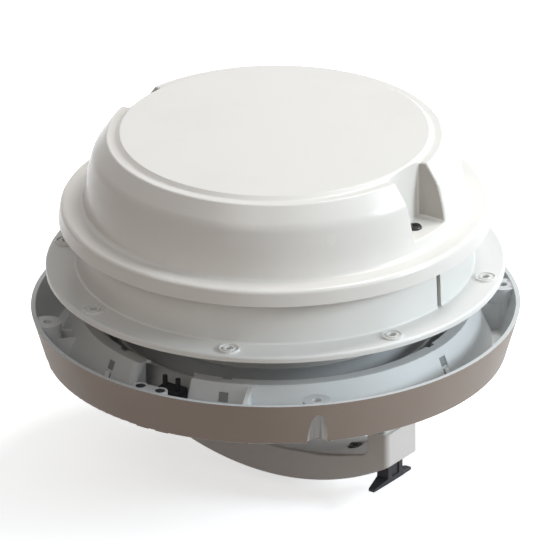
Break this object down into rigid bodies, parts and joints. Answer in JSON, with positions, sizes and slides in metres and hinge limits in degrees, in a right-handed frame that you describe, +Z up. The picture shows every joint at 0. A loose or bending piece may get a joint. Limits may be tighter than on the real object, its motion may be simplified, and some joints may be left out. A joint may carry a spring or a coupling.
{
  "type": "caravan roof vent",
  "caption": "Round powered roof vent with a domed lift-up lid on a screw-down flange, a fan in its throat, a ceiling trim ring and a pull handle with finger latches.",
  "frame": {"origin": "centre of the flange's underside, which rests on the roof, and of its circle of screw holes", "axes": "+Z points up out of the roof, +X runs along the handle bar, -Y points at the wiring gap in the trim ring"},
  "size_m": [0.27, 0.27, 0.2059],
  "materials": {
    "dome_plastic": "glossy warm white",
    "base_plastic": "satin white",
    "trim_plastic": "matt light grey",
    "black_plastic": "matt black",
    "seal_rubber": "matt",
    "screw_steel": "bright",
    "motor_steel": "zinc plated",
    "spring_steel": "plain",
    "bush_brass": "plain",
    "fan_plastic": "matt dark grey",
    "screen_plastic": "matt"
  },
  "bodies": {
    "base": {"roof_base": "base_plastic", "flange_gasket": "seal_rubber", "throat_sleeve": "trim_plastic", "ceiling_trim": "trim_plastic", "terminal_block": "black_plastic", "terminal_posts": "black_plastic", "fan_shroud": "fan_plastic", "shroud_screws": "screw_steel", "guide_bushes": "fan_plastic", "motor_can": "motor_steel", "motor_bush": "bush_brass", "motor_screws": "screw_steel", "insect_screen": "screen_plastic"},
    "lid": {"dome_lid": "dome_plastic", "lid_seal": "seal_rubber", "lid_carrier": "base_plastic", "lid_screws": "screw_steel", "lift_stems": "base_plastic", "stem_screws": "screw_steel", "handle_bar": "base_plastic", "foot_screws": "screw_steel", "handle_cover": "base_plastic", "handle_screws": "screw_steel", "switch_housing": "black_plastic", "latch_spring_right": "spring_steel", "latch_spring_left": "spring_steel"},
    "fan": {"fan_impeller": "fan_plastic", "motor_shaft": "screw_steel", "fan_nut": "screw_steel"},
    "rocker": {"switch_rocker": "black_plastic"},
    "latch_right_body": {"latch_right": "black_plastic"},
    "latch_left_body": {"latch_left": "black_plastic"}
  },
  "joints": [
    {"name": "lid_lift", "type": "slide", "parent": "base", "child": "lid", "axis": [0, 0, 1], "range_m": [0, 0.034]},
    {"name": "fan_spin", "type": "hinge", "parent": "base", "child": "fan", "pos_m": [0, 0, 0], "axis": [0, 0, 1], "continuous": true},
    {"name": "rocker_tilt", "type": "hinge", "parent": "lid", "child": "rocker", "pos_m": [0, 0, -0.1159], "axis": [0, 1, 0], "range_deg": [-10, 10]},
    {"name": "latch_right_press", "type": "slide", "parent": "lid", "child": "latch_right_body", "axis": [0, 0, 1], "range_m": [0, 0.0035], "stiffness_N_per_m": 400, "springref_m": -0.005, "deforming": ["latch_spring_right"]},
    {"name": "latch_left_press", "type": "slide", "parent": "lid", "child": "latch_left_body", "axis": [0, 0, 1], "range_m": [0, 0.0035], "stiffness_N_per_m": 400, "springref_m": -0.005, "deforming": ["latch_spring_left"]}
  ]
}
